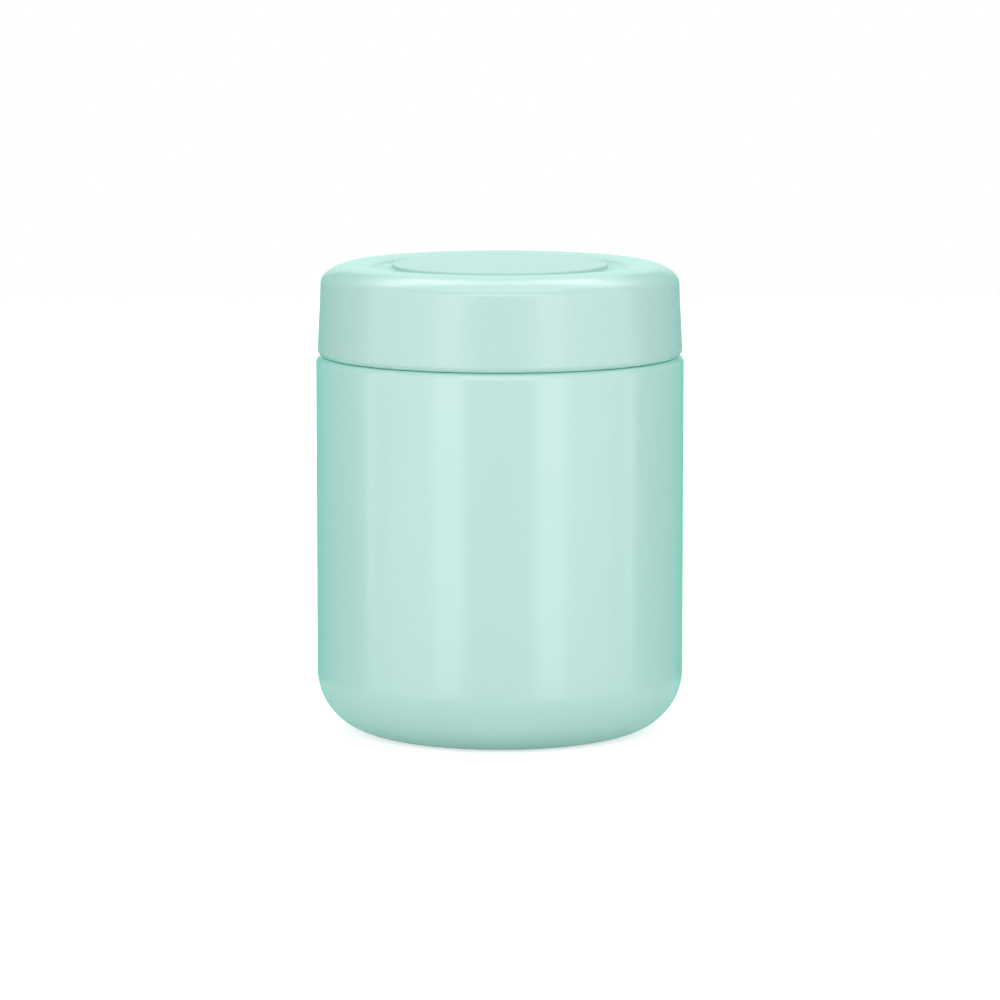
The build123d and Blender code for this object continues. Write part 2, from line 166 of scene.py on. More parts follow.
# inner lid: plug, flange, skirt and well
plug_radius = mouth_radius - 1.4 * mm
plug_wall = 1.6 * mm
plug_inner = plug_radius - plug_wall
plug_bottom = rim_height - 10.0 * mm
plug_edge = 2.5 * mm
seal_bead = 0.7 * mm
seal_bead_foot = rim_height - gasket_lip_depth - 0.75 * mm
floor_top = plug_bottom + 1.8 * mm
boss_top = floor_top + 2.2 * mm
stem_radius = 2.5 * mm
boss_wall = 1.6 * mm
boss_root = 0.5 * mm
boss_edge = 0.2 * mm
well_corner = 0.8 * mm
flange_edge = 0.4 * mm
flange_bottom = rim_height + gasket_body + 2 * touch
plate_seat = 1.0 * mm
plate_bottom = flange_top - 1.2 * mm
skirt_root = neck_radius + bead_height + running
skirt_wall = 2.1 * mm
skirt_radius = skirt_root + skirt_wall
skirt_bottom = shoulder_height + 1.2 * mm
skirt_edge = 0.3 * mm
catch_bottom = shoulder_height + 2.25 * mm
catch_top = catch_bottom + 1.4 * mm
catch_root = 0.2 * mm
catch_edge = 0.45 * mm

# ridges inside the skirt, which run under the neck's beads
ridge_arc = 80.0
ridge_lag = 10.0
ridge_drop = 1.9 * mm
ridge_crest = neck_radius + running
ridge_foot_half = 0.85 * mm
ridge_crest_half = 0.45 * mm
ridge_sink = 0.5 * mm
ridge_end_scale = 0.3

# lugs on the inner lid, the cover's ribs that turn them, and the ribs that click
lug_angle = 10.0
lug_foot = catch_bottom + 0.7 * mm
lug_edge = 0.3 * mm
lug_rib_angle = 4.0
click_angle = 40.0
click_fingers = 3
click_rib_radius = plug_inner - 4.9 * mm
click_rib_width = 2.2 * mm
click_rib_length = 1.6 * mm
click_rib_drop = 0.5 * mm
click_rib_taper = 0.5 * mm
click_rib_sink = 0.1 * mm
click_rib_margin = 5.0

# vent valve and its spring
vent_radius = 7.0 * mm
vent_lip = 1.0 * mm
vent_lip_height = 0.3 * mm
vent_lip_root = 0.1 * mm
vent_lip_edge = 0.2 * mm
vent_top = plug_bottom - sliding / 2 - vent_lip_height
vent_thickness = 1.2 * mm
vent_edge = 0.4 * mm
vent_bore = 1.55 * mm
spring_height = 4.2 * mm
spring_wire = 0.3 * mm
spring_turns = 3


# ------------------------------------------------------------------ sections
def arc(centre, radius, start, sweep, steps):
    """Points of an arc, with its angles in degrees anticlockwise from outwards."""
    points = []
    for step in range(steps + 1):
        angle = math.radians(start + sweep * step / steps)
        points.append(Vector((centre[0] + radius * math.cos(angle), centre[1] + radius * math.sin(angle))))
    return points


def three_point_arc(first, middle, last, steps):
    """Points of the arc through three points."""
    ax, ay = first
    bx, by = middle
    cx, cy = last
    area = 2 * (ax * (by - cy) + bx * (cy - ay) + cx * (ay - by))
    a2, b2, c2 = ax * ax + ay * ay, bx * bx + by * by, cx * cx + cy * cy
    centre = Vector(
        (
            (a2 * (by - cy) + b2 * (cy - ay) + c2 * (ay - by)) / area,
            (a2 * (cx - bx) + b2 * (ax - cx) + c2 * (bx - ax)) / area,
        )
    )
    start = math.atan2(ay - centre.y, ax - centre.x)
    halfway = (math.atan2(by - centre.y, bx - centre.x) - start) % (2 * math.pi)
    sweep = (math.atan2(cy - centre.y, cx - centre.x) - start) % (2 * math.pi)
    if halfway > sweep:
        sweep -= 2 * math.pi
    radius = (Vector(first) - centre).length
    return arc(centre, radius, math.degrees(start), math.degrees(sweep), steps)


def rounded(corners, steps=8):
    """Line through corners given as (radius, height, rounding), with an arc at each rounding."""
    widest_step = 6
    line = []
    for index, (x, y, rounding) in enumerate(corners):
        corner = Vector((x, y))
        if rounding == 0 or index in (0, len(corners) - 1):
            line.append(corner)
            continue
        back = (Vector(corners[index - 1][:2]) - corner).normalized()
        ahead = (Vector(corners[index + 1][:2]) - corner).normalized()
        half = back.angle(ahead) / 2
        centre = corner + (back + ahead).normalized() * rounding / math.sin(half)
        first = corner + back * rounding / math.tan(half)
        last = corner + ahead * rounding / math.tan(half)
        turn = math.degrees(-(first - centre).angle_signed(last - centre))
        start = math.degrees(math.atan2(first.y - centre.y, first.x - centre.x))
        count = max(steps, int(abs(turn) / widest_step))
        line.extend(arc(centre, rounding, start, turn, count))
    return line


def sheet(line, wall):
    """Closed section of a sheet along a line, with its wall on the left, or on the right if negative."""
    longest_mitre = 2.0
    other = []
    for index, point in enumerate(line):
        before = (point - line[index - 1]).normalized() if index else None
        after = (line[index + 1] - point).normalized() if index < len(line) - 1 else None
        before = before or after
        after = after or before
        along = (before + after).normalized()
        across = Vector((-along.y, along.x)) / max(along.dot(after), 1 / longest_mitre)
        other.append(point + across * wall)
    return line + other[::-1]


def bar(inner, outer, bottom, top, rounding=0.0):
    """Closed rectangular section, with its corners rounded or sharp."""
    corners = [(inner, bottom, 180), (outer, bottom, 270), (outer, top, 0), (inner, top, 90)]
    if rounding == 0:
        return [Vector(corner[:2]) for corner in corners]
    line = []
    for x, y, start in corners:
        inwards_x = rounding if x == inner else -rounding
        inwards_y = rounding if y == bottom else -rounding
        line.extend(arc((x + inwards_x, y + inwards_y), rounding, start, 90, steps=4))
    return line


# ------------------------------------------------------------------ Geometry Nodes
def new_tree(name, sizes):
    """Node tree with a geometry, a material and these sizes as its inputs."""
    tree = bpy.data.node_groups.new(name, "GeometryNodeTree")
    tree.interface.new_socket("Geometry", in_out="INPUT", socket_type="NodeSocketGeometry")
    tree.interface.new_socket("Finish", in_out="INPUT", socket_type="NodeSocketMaterial")
    for size, kind in sizes.items():
        tree.interface.new_socket(size, in_out="INPUT", socket_type=kind)
    tree.interface.new_socket("Geometry", in_out="OUTPUT", socket_type="NodeSocketGeometry")
    return tree, tree.nodes.new("NodeGroupInput"), tree.nodes.new("NodeGroupOutput")


def finish_tree(tree, given, result, geometry):
    """Ends a tree: closes its seams and poles, realizes its copies and gives it its finish."""
    seam = 0.002 * mm
    merge = tree.nodes.new("GeometryNodeMergeByDistance")
    merge.inputs["Distance"].default_value = seam
    realize = tree.nodes.new("GeometryNodeRealizeInstances")
    paint = tree.nodes.new("GeometryNodeSetMaterial")
    tree.links.new(geometry, merge.inputs["Geometry"])
    tree.links.new(merge.outputs["Geometry"], realize.inputs["Geometry"])
    tree.links.new(realize.outputs["Geometry"], paint.inputs["Geometry"])
    tree.links.new(given.outputs["Finish"], paint.inputs["Material"])
    tree.links.new(paint.outputs["Geometry"], result.inputs["Geometry"])


def lathe_tree():
    """Spins the section, a curve, once round the jar's axis, at a radius."""
    tree, given, result = new_tree("lathe", {"Segments": "NodeSocketInt", "Radius": "NodeSocketFloat"})
    circle = tree.nodes.new("GeometryNodeCurvePrimitiveCircle")
    spin = tree.nodes.new("GeometryNodeCurveToMesh")
    tree.links.new(given.outputs["Radius"], circle.inputs["Radius"])
    tree.links.new(given.outputs["Segments"], circle.inputs["Resolution"])
    tree.links.new(circle.outputs["Curve"], spin.inputs["Curve"])
    tree.links.new(given.outputs["Geometry"], spin.inputs["Profile Curve"])
    finish_tree(tree, given, result, spin.outputs["Mesh"])
    return tree


def math_node(tree, operation, first, second=None):
    """Math node with sockets or plain numbers as its inputs; returns its output."""
    node = tree.nodes.new("ShaderNodeMath")
    node.operation = operation
    for index, value in enumerate((first, second)):
        if value is None:
            continue
        if isinstance(value, (int, float)):
            node.inputs[index].default_value = value
        else:
            tree.links.new(value, node.inputs[index])
    return node.outputs[0]


def copies_tree():
    """Spins the section through part of a turn, with closed ends, and copies it evenly round the axis."""
    sizes = {
        "Segments": "NodeSocketInt",
        "Radius": "NodeSocketFloat",
        "Start": "NodeSocketFloat",
        "Sweep": "NodeSocketFloat",
        "Copies": "NodeSocketInt",
    }
    tree, given, result = new_tree("ribs", sizes)
    part = tree.nodes.new("GeometryNodeCurveArc")
    spin = tree.nodes.new("GeometryNodeCurveToMesh")
    spin.inputs["Fill Caps"].default_value = True
    tree.links.new(given.outputs["Segments"], part.inputs["Resolution"])
    tree.links.new(given.outputs["Radius"], part.inputs["Radius"])
    tree.links.new(given.outputs["Start"], part.inputs["Start Angle"])
    tree.links.new(given.outputs["Sweep"], part.inputs["Sweep Angle"])
    tree.links.new(part.outputs["Curve"], spin.inputs["Curve"])
    tree.links.new(given.outputs["Geometry"], spin.inputs["Profile Curve"])
    finish_tree(tree, given, result, copies_round_axis(tree, given, spin.outputs["Mesh"]))
    return tree


def copies_round_axis(tree, given, geometry):
    """Adds nodes that place copies of the geometry evenly round the jar's axis."""
    points = tree.nodes.new("GeometryNodePoints")
    place = tree.nodes.new("GeometryNodeInstanceOnPoints")
    index = tree.nodes.new("GeometryNodeInputIndex")
    angle = tree.nodes.new("ShaderNodeCombineXYZ")
    step = math_node(tree, "DIVIDE", 2 * math.pi, given.outputs["Copies"])
    turn = math_node(tree, "MULTIPLY", index.outputs["Index"], step)
    tree.links.new(turn, angle.inputs["Z"])
    tree.links.new(given.outputs["Copies"], points.inputs["Count"])
    tree.links.new(points.outputs["Geometry"], place.inputs["Points"])
    tree.links.new(geometry, place.inputs["Instance"])
    tree.links.new(angle.outputs["Vector"], place.inputs["Rotation"])
    return place.outputs["Instances"]


def thread_tree():
    """Runs the section, a curve, up a helix and copies it round the axis; its ends can fade away."""
    steps = 240
    fade_rate = 12.0
    sizes = {
        "Radius": "NodeSocketFloat",
        "Lead": "NodeSocketFloat",
        "Arc": "NodeSocketFloat",
        "Start": "NodeSocketFloat",
        "Low End": "NodeSocketFloat",
        "End Scale": "NodeSocketFloat",
        "Copies": "NodeSocketInt",
    }
    tree, given, result = new_tree("thread", sizes)
    helix = tree.nodes.new("GeometryNodeCurveSpiral")
    helix.inputs["Resolution"].default_value = steps
    helix.inputs["Reverse"].default_value = True
    turns = math_node(tree, "DIVIDE", given.outputs["Arc"], 2 * math.pi)
    rise = math_node(tree, "MULTIPLY", turns, given.outputs["Lead"])
    tree.links.new(turns, helix.inputs["Rotations"])
    tree.links.new(rise, helix.inputs["Height"])
    tree.links.new(given.outputs["Radius"], helix.inputs["Start Radius"])
    tree.links.new(given.outputs["Radius"], helix.inputs["End Radius"])
    along = tree.nodes.new("GeometryNodeSplineParameter")
    left = math_node(tree, "SUBTRACT", 1.0, along.outputs["Factor"])
    nearer = math_node(tree, "MINIMUM", along.outputs["Factor"], left)
    ramp = math_node(tree, "MINIMUM", math_node(tree, "MULTIPLY", nearer, fade_rate), 1.0)
    fade = math_node(tree, "MAXIMUM", math_node(tree, "SQRT", ramp), given.outputs["End Scale"])
    upright = tree.nodes.new("GeometryNodeSetCurveNormal")
    upright.mode = "Z_UP"
    run = tree.nodes.new("GeometryNodeCurveToMesh")
    run.inputs["Fill Caps"].default_value = True
    tree.links.new(helix.outputs["Curve"], upright.inputs["Curve"])
    tree.links.new(upright.outputs["Curve"], run.inputs["Curve"])
    tree.links.new(given.outputs["Geometry"], run.inputs["Profile Curve"])
    tree.links.new(fade, run.inputs["Scale"])
    place = tree.nodes.new("GeometryNodeTransform")
    lift = tree.nodes.new("ShaderNodeCombineXYZ")
    spin = tree.nodes.new("ShaderNodeCombineXYZ")
    tree.links.new(given.outputs["Low End"], lift.inputs["Z"])
    tree.links.new(given.outputs["Start"], spin.inputs["Z"])
    tree.links.new(run.outputs["Mesh"], place.inputs["Geometry"])
    tree.links.new(lift.outputs["Vector"], place.inputs["Translation"])
    tree.links.new(spin.outputs["Vector"], place.inputs["Rotation"])
    finish_tree(tree, given, result, copies_round_axis(tree, given, place.outputs["Geometry"]))
    return tree


lathe = lathe_tree()
ribs = copies_tree()
thread = thread_tree()


def outline(name, points):
    """Curve object that holds a flat, closed outline."""
    curve = bpy.data.curves.new(name, "CURVE")
    curve.dimensions = "3D"
    spline = curve.splines.new("POLY")
    spline.points.add(len(points) - 1)
    for spot, (x, y) in zip(spline.points, points):
        spot.co = (x, y, 0, 1)
    spline.use_cyclic_u = True
    host = bpy.data.objects.new(name, curve)
    bpy.context.scene.collection.objects.link(host)
    return host


def mesh_from(host, tree, finish, **sizes):
    """Plain mesh that the tree makes from the host, which is then removed."""
    modifier = host.modifiers.new(tree.name, "NODES")
    modifier.node_group = tree
    for socket in tree.interface.items_tree:
        if socket.in_out != "INPUT" or socket.name == "Geometry":
            continue
        modifier[socket.identifier] = finish if socket.name == "Finish" else sizes[socket.name]
    bpy.context.view_layer.update()
    seen = host.evaluated_get(bpy.context.evaluated_depsgraph_get())
    mesh = bpy.data.meshes.new_from_object(seen)
    host.modifiers.remove(modifier)
    bpy.data.objects.remove(host)
    return mesh


def lathe_outline(name, section):
    """Outline of a turned section, x out from its middle radius and y down, and that radius."""
    radii = [point[0] for point in section]
    middle = (min(radii) + max(radii)) / 2
    return outline(name, [(point[0] - middle, -point[1]) for point in section]), middle


def turned(name, section, finish, segments=lid_segments):
    """Mesh of a turned piece from its closed section."""
    host, middle = lathe_outline(name, section)
    return mesh_from(host, lathe, finish, Segments=segments, Radius=middle)


def rib_copies(name, section, finish, start, sweep, copies):
    """Mesh of evenly spaced ribs, each the section spun through a few degrees."""
    fewest, per_degree = 5, 2
    host, middle = lathe_outline(name, section)
    sizes = {
        "Segments": max(fewest, int(per_degree * sweep)),
        "Radius": middle,
        "Start": math.radians(start),
        "Sweep": math.radians(sweep),
        "Copies": copies,
    }
    return mesh_from(host, ribs, finish, **sizes)


def helical(name, section, finish, radius, lead, turn, start, low_end, copies=1, end_scale=0.06):
    """Mesh of a section run up a helix; the section's x points out from the axis."""
    sizes = {
        "Radius": radius,
        "Lead": lead,
        "Arc": math.radians(turn),
        "Start": math.radians(start),
        "Low End": low_end,
        "End Scale": end_scale,
        "Copies": copies,
    }
    return mesh_from(outline(name, section), thread, finish, **sizes)


def piece(name, meshes, body, nodes):
    """One object from these meshes, smooth but for its sharp edges, riding on its body."""
    sharp = math.radians(35)
    form = bmesh.new()
    for mesh in meshes:
        form.from_mesh(mesh)
    loose = [edge for edge in form.edges if edge.is_wire]
    bmesh.ops.delete(form, geom=loose, context="EDGES")
    bmesh.ops.recalc_face_normals(form, faces=form.faces)
    made = meshes[0]
    form.to_mesh(made)
    form.free()
    made.name = name
    for face in made.polygons:
        face.use_smooth = True
    made.set_sharp_from_angle(angle=sharp)
    thing = bpy.data.objects.new(name, made)
    bpy.context.scene.collection.objects.link(thing)
    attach(thing, body)
    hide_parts(*nodes)
    return thing


# ------------------------------------------------------------------ finishes
def new_finish(name, color, roughness, metallic=0.0):
    """Material with a Principled shader and the object's coordinates; returns all three and its tree."""
    finish = bpy.data.materials.new(name)
    finish.use_nodes = True
    tree = finish.node_tree
    shader = tree.nodes["Principled BSDF"]
    shader.inputs["Base Color"].default_value = (*color, 1)
    shader.inputs["Roughness"].default_value = roughness
    shader.inputs["Metallic"].default_value = metallic
    place = tree.nodes.new("ShaderNodeTexCoord").outputs["Object"]
    return finish, tree, shader, place


def noise(tree, place, size, detail=2.0, roughness=0.5):
    """Noise whose spots are about this size, in metres."""
    node = tree.nodes.new("ShaderNodeTexNoise")
    node.inputs["Scale"].default_value = 1 / size
    node.inputs["Detail"].default_value = detail
    node.inputs["Roughness"].default_value = roughness
    tree.links.new(place, node.inputs["Vector"])
    return node.outputs["Fac"]


def cells(tree, place, size, feature="F1"):
    """Distance from the middles or the edges of cells of about this size, in metres."""
    node = tree.nodes.new("ShaderNodeTexVoronoi")
    node.feature = feature
    node.inputs["Scale"].default_value = 1 / size
    tree.links.new(place, node.inputs["Vector"])
    return node.outputs["Distance"]


def spread(tree, value, low, high):
    """Maps a noise to a range; nearly all of the noise lies from 0.3 to 0.7."""
    usual_low, usual_high = 0.3, 0.7
    node = tree.nodes.new("ShaderNodeMapRange")
    node.inputs["From Min"].default_value = usual_low
    node.inputs["From Max"].default_value = usual_high
    node.inputs["To Min"].default_value = low
    node.inputs["To Max"].default_value = high
    tree.links.new(value, node.inputs["Value"])
    return node.outputs["Result"]


def shade(color, factor):
    """Colour made lighter or darker."""
    return tuple(min(1.0, channel * factor) for channel in color)


def mottled(tree, shader, pattern, color, dark, light):
    """Base colour that drifts with a pattern, from darker to lighter by these factors."""
    node = tree.nodes.new("ShaderNodeMix")
    node.data_type = "RGBA"
    ends = [socket for socket in node.inputs if socket.type == "RGBA"]
    for socket, factor in zip(ends, (dark, light)):
        socket.default_value = (*shade(color, factor), 1)
    tree.links.new(pattern, node.inputs["Factor"])
    result = [socket for socket in node.outputs if socket.type == "RGBA"][0]
    tree.links.new(result, shader.inputs["Base Color"])


def bump(tree, height, depth, strength=1.0, before=None):
    """Bump of a height map, over another bump if there is one; depth in metres."""
    node = tree.nodes.new("ShaderNodeBump")
    node.inputs["Strength"].default_value = strength
    node.inputs["Distance"].default_value = depth
    tree.links.new(height, node.inputs["Height"])
    if before is not None:
        tree.links.new(before, node.inputs["Normal"])
    return node.outputs["Normal"]


def pigment_bloom(shader, weight):
    """Slightly warm gloss, and a faint green bloom of this weight where a surface turns away."""
    shader.inputs["Sheen Weight"].default_value = weight
    shader.inputs["Sheen Roughness"].default_value = 0.45
    shader.inputs["Sheen Tint"].default_value = (0.15, 1.0, 0.8, 1)
    shader.inputs["Specular Tint"].default_value = (1.0, 0.78, 0.81, 1)


def painted_finish(name, color):
    """Satin-gloss powder paint: soft orange peel, fine tooth, faint drift in colour."""
    finish, tree, shader, place = new_finish(name, color, 0.2)
    drift = noise(tree, place, 26 * mm)
    peel = noise(tree, place, 1.3 * mm, detail=1.0)
    tooth = noise(tree, place, 0.16 * mm, detail=1.0)
    mottled(tree, shader, drift, color, 0.985, 1.015)
    tree.links.new(spread(tree, peel, 0.18, 0.23), shader.inputs["Roughness"])
    rough = bump(tree, tooth, 0.0016 * mm)
    tree.links.new(bump(tree, peel, 0.006 * mm, before=rough), shader.inputs["Normal"])
    shader.inputs["Specular IOR Level"].default_value = 0.68
    pigment_bloom(shader, 0.64)
    return finish


def moulded_finish(name, color, roughness, gloss=0.5, bloom=0.0):
    """Satin moulded plastic: fine spark-eroded grain and a slow waviness."""
    finish, tree, shader, place = new_finish(name, color, roughness)
    drift = noise(tree, place, 30 * mm)
    grain = noise(tree, place, 0.22 * mm, roughness=0.6)
    wave = noise(tree, place, 9 * mm, detail=1.0)
    mottled(tree, shader, drift, color, 0.985, 1.015)
    tree.links.new(spread(tree, grain, roughness - 0.04, roughness + 0.05), shader.inputs["Roughness"])
    rough = bump(tree, grain, 0.004 * mm)
    tree.links.new(bump(tree, wave, 0.03 * mm, before=rough), shader.inputs["Normal"])
    shader.inputs["Specular IOR Level"].default_value = gloss
    pigment_bloom(shader, bloom)
    return finish


def round_axis(tree, place, across, along):
    """Coordinates for marks that run round the jar: fine in radius and height, long in angle."""
    parts = tree.nodes.new("ShaderNodeSeparateXYZ")
    tree.links.new(place, parts.inputs["Vector"])
    x, y, z = (parts.outputs[axis] for axis in "XYZ")
    squares = math_node(tree, "ADD", math_node(tree, "MULTIPLY", x, x), math_node(tree, "MULTIPLY", y, y))
    radius = math_node(tree, "SQRT", squares)
    angle = math_node(tree, "ARCTAN2", y, x)
    joined = tree.nodes.new("ShaderNodeCombineXYZ")
    tree.links.new(math_node(tree, "MULTIPLY", radius, 1 / across), joined.inputs["X"])
    tree.links.new(math_node(tree, "MULTIPLY", angle, 1 / along), joined.inputs["Y"])
    tree.links.new(math_node(tree, "MULTIPLY", z, 1 / across), joined.inputs["Z"])
    return joined.outputs["Vector"]


def turned_steel(name, color, roughness, line=0.12 * mm, depth=0.002 * mm):
    """Stainless steel with fine lines round the axis and a slow cloudiness."""
    line_angle = 0.35
    finish, tree, shader, place = new_finish(name, color, roughness, metallic=1.0)
    lines = noise(tree, round_axis(tree, place, line, line_angle), 1.0, detail=3.0, roughness=0.65)
    cloud = noise(tree, place, 11 * mm)
    tree.links.new(spread(tree, lines, roughness - 0.06, roughness + 0.08), shader.inputs["Roughness"])
    mottled(tree, shader, cloud, color, 0.96, 1.03)
    soft = bump(tree, cloud, 0.02 * mm, strength=0.5)
    tree.links.new(bump(tree, lines, depth, before=soft), shader.inputs["Normal"])
    shader.inputs["Anisotropic"].default_value = 0.4
    return finish


def silicone_finish(name):
    """Translucent pale silicone with a dull skin and faint flow marks."""
    color = (0.80, 0.83, 0.82)
    finish, tree, shader, place = new_finish(name, color, 0.5)
    flow = noise(tree, place, 3 * mm)
    skin = noise(tree, place, 0.12 * mm, detail=1.0)
    mottled(tree, shader, flow, color, 0.96, 1.02)
    tree.links.new(spread(tree, flow, 0.45, 0.56), shader.inputs["Roughness"])
    tree.links.new(bump(tree, skin, 0.003 * mm), shader.inputs["Normal"])
    shader.inputs["Subsurface Weight"].default_value = 0.35
    shader.inputs["Subsurface Scale"].default_value = 1.2 * mm
    return finish


def foil_finish(name):
    """Bright rolled foil, crinkled where it is wrapped."""
    color = (0.86, 0.86, 0.87)
    finish, tree, shader, place = new_finish(name, color, 0.2, metallic=1.0)
    folds = cells(tree, place, 7 * mm, "DISTANCE_TO_EDGE")
    fine = noise(tree, place, 2 * mm, detail=3.0)
    tree.links.new(spread(tree, fine, 0.14, 0.26), shader.inputs["Roughness"])
    mottled(tree, shader, fine, color, 0.94, 1.04)
    creased = bump(tree, folds, 0.4 * mm, strength=0.6)
    tree.links.new(bump(tree, fine, 0.1 * mm, strength=0.5, before=creased), shader.inputs["Normal"])
    return finish


def grainy_finish(name, color, roughness, size, depth, metallic=0.0):
    """Matt body with grains or cells of one size, as in pressed powder, braze and foam."""
    finish, tree, shader, place = new_finish(name, color, roughness, metallic)
    grains = cells(tree, place, size)
    blotch = noise(tree, place, 6 * size)
    mottled(tree, shader, blotch, color, 0.88, 1.08)
    tree.links.new(spread(tree, blotch, roughness - 0.06, roughness + 0.06), shader.inputs["Roughness"])
    tree.links.new(bump(tree, grains, depth), shader.inputs["Normal"])
    return finish


body_paint = painted_finish("mint_paint", (0.474, 0.734, 0.676))
cover_plastic = moulded_finish("mint_plastic", (0.474, 0.714, 0.66), 0.26, gloss=0.6, bloom=0.38)
disc_plastic = moulded_finish("mint_disc_plastic", (0.49, 0.69, 0.632), 0.42, gloss=0.2, bloom=0.2)
base_steel = turned_steel("bottom_steel", (0.60, 0.60, 0.59), 0.34, line=0.25 * mm, depth=0.004 * mm)
vessel_steel = turned_steel("polished_steel", (0.68, 0.68, 0.67), 0.3, line=0.12 * mm, depth=0.001 * mm)
neck_steel = turned_steel("rolled_steel", (0.62, 0.62, 0.61), 0.3, line=0.10 * mm, depth=0.003 * mm)
clip_steel = turned_steel("strap_steel", (0.55, 0.55, 0.55), 0.38)
spring_steel = turned_steel("spring_wire", (0.58, 0.58, 0.58), 0.22, line=0.05 * mm, depth=0.001 * mm)
silicone = silicone_finish("clear_silicone")
foil = foil_finish("rolled_foil")
lid_inner_plastic = moulded_finish("white_plastic", (0.84, 0.86, 0.84), 0.4)
click_plastic = moulded_finish("grey_plastic", (0.62, 0.65, 0.65), 0.34)
cap_plastic = moulded_finish("foot_cap_plastic", (0.70, 0.72, 0.71), 0.45)
braze = grainy_finish("brazing", (0.42, 0.37, 0.26), 0.42, 0.4 * mm, 0.03 * mm, metallic=1.0)
getter = grainy_finish("getter_powder", (0.09, 0.09, 0.095), 0.75, 0.18 * mm, 0.05 * mm)
foam = grainy_finish("cell_foam", (0.88, 0.88, 0.86), 0.85, 1.4 * mm, 0.25 * mm)


# ------------------------------------------------------------------ jar
def painted_body():
    """Painted outer shell: rolled shoulder, straight side, round corner and hemmed foot."""
    step_inner = body_radius - 2 * shoulder_edge
    step_outer = body_radius - 1.8 * shoulder_edge
    line = rounded(
        [
            (neck_radius + touch, shoulder_height, 0),
            (step_inner, shoulder_height, 0),
            (step_outer, shoulder_height + groove_step, 0),
            (body_radius, shoulder_height + groove_step, shoulder_edge),
            (body_radius, 0, corner_radius),
            (hem_radius, 0, foot_edge),
            (hem_radius, hem_height, 0),
        ],
        steps=10,
    )
    shell = turned("painted_body", sheet(line, -body_wall), body_paint, body_segments)
    piece("painted_body", [shell], "jar", ["body_shell"])


def foot_plate():
    """Recessed bottom plate with the dimple round the evacuation hole."""
    line = rounded(
        [
            (hole_radius, base_recess + dimple_depth, 0),
            (dimple_radius, base_recess + dimple_depth, dimple_depth),
            (dimple_radius + 2 * dimple_depth, base_recess, dimple_depth),
            (hem_radius - touch, base_recess, foot_edge + base_wall),
            (hem_radius - touch, hem_height, 0),
        ]
    )
    plate = turned("foot_plate", sheet(line, base_wall), base_steel)
    piece("foot_plate", [plate], "jar", ["base_plate"])


def foot_cap():
    """Round cap over the brazed plug, with a low lip round its rim."""
    low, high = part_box("base_cap")
    face = low.z + cap_lip
    lip = rounded(
        [
            (0, face, 0),
            (high.x - cap_lip_foot, face, cap_lip_blend),
            (high.x - cap_lip_head, low.z, 0),
        ]
    )
    section = [
        Vector((0, face)),
        *lip[1:-1],
        *arc((high.x - cap_edge, low.z + cap_edge), cap_edge, 270, 90, steps=6),
        Vector((high.x, high.z)),
        Vector((0, high.z)),
    ]
    cap = turned("foot_cap", section, cap_plastic)
    piece("foot_cap", [cap], "jar", ["base_cap"])


def food_vessel():
    """Steel food vessel, necked in below its rolled rim."""
    line = rounded(
        [
            (0, vessel_floor, 0),
            (vessel_radius - vessel_wall, vessel_floor, vessel_corner),
            (vessel_radius - vessel_wall, vessel_shoulder, vessel_edge),
            (mouth_radius, vessel_shoulder + vessel_rise, vessel_edge),
            (mouth_radius, neck_top, 0),
        ],
        steps=12,
    )
    roll = arc((mouth_radius + rim_roll, neck_top), rim_roll, 180, -180, steps=16)
    section = sheet(line + roll[1:], -vessel_wall)
    wall = turned("food_vessel", section, vessel_steel, vessel_segments)
    piece("food_vessel", [wall], "jar", ["inner_vessel"])


def threaded_neck():
    """Bare steel neck, flanged under the shoulder, with three rolled beads for the lid."""
    foot = shoulder_height - body_wall
    corners = [(neck_radius + neck_flange, foot, 0), (neck_radius, foot, 0), (neck_radius, neck_top, 0)]
    wall = turned("threaded_neck", sheet(rounded(corners), neck_wall), neck_steel)
    wall_middle = neck_radius - neck_wall / 2
    rise = bead_height + neck_wall / 2
    radius = (rise**2 + bead_half_width**2) / (2 * rise)
    half = math.degrees(math.asin(bead_half_width / radius))
    bow = arc((rise - radius, 0), radius, -half, 2 * half, steps=14)
    way = (wall_middle, thread_lead, bead_arc, 0, bead_low_end, thread_starts)
    beads = helical("thread_beads", bow, neck_steel, *way)
    piece("threaded_neck", [wall, beads], "jar", ["neck_sleeve"])


# ------------------------------------------------------------------ lid
def seal_ring():
    """Silicone seal ring: a flat body on the rim and a lip with two ribs down the mouth."""
    lip = mouth_radius - sliding - gasket_rib
    inner = plug_radius + sliding
    outer = neck_radius - running
    low = rim_height - gasket_lip_depth
    body_foot = rim_height + touch
    body_head = body_foot + gasket_body
    section = [
        Vector((inner, body_head)),
        *arc((outer - gasket_edge, body_head - gasket_edge), gasket_edge, 90, -90, steps=5),
        *arc((outer - gasket_edge, body_foot + gasket_edge), gasket_edge, 0, -90, steps=5),
        Vector((lip, body_foot)),
        *arc((lip, neck_top - gasket_rib), gasket_rib, 90, -180, steps=8),
        *arc((lip, low + gasket_rib), gasket_rib, 90, -180, steps=8),
        Vector((inner, low)),
    ]
    ring = turned("seal_ring", section, silicone)
    piece("seal_ring", [ring], "seal", ["lid_gasket"])


def cover_inside(height):
    """Radius of the cover's drafted inner wall at a height."""
    return cover_radius - cover_wall - (height - cover_bottom) * math.tan(cover_draft)


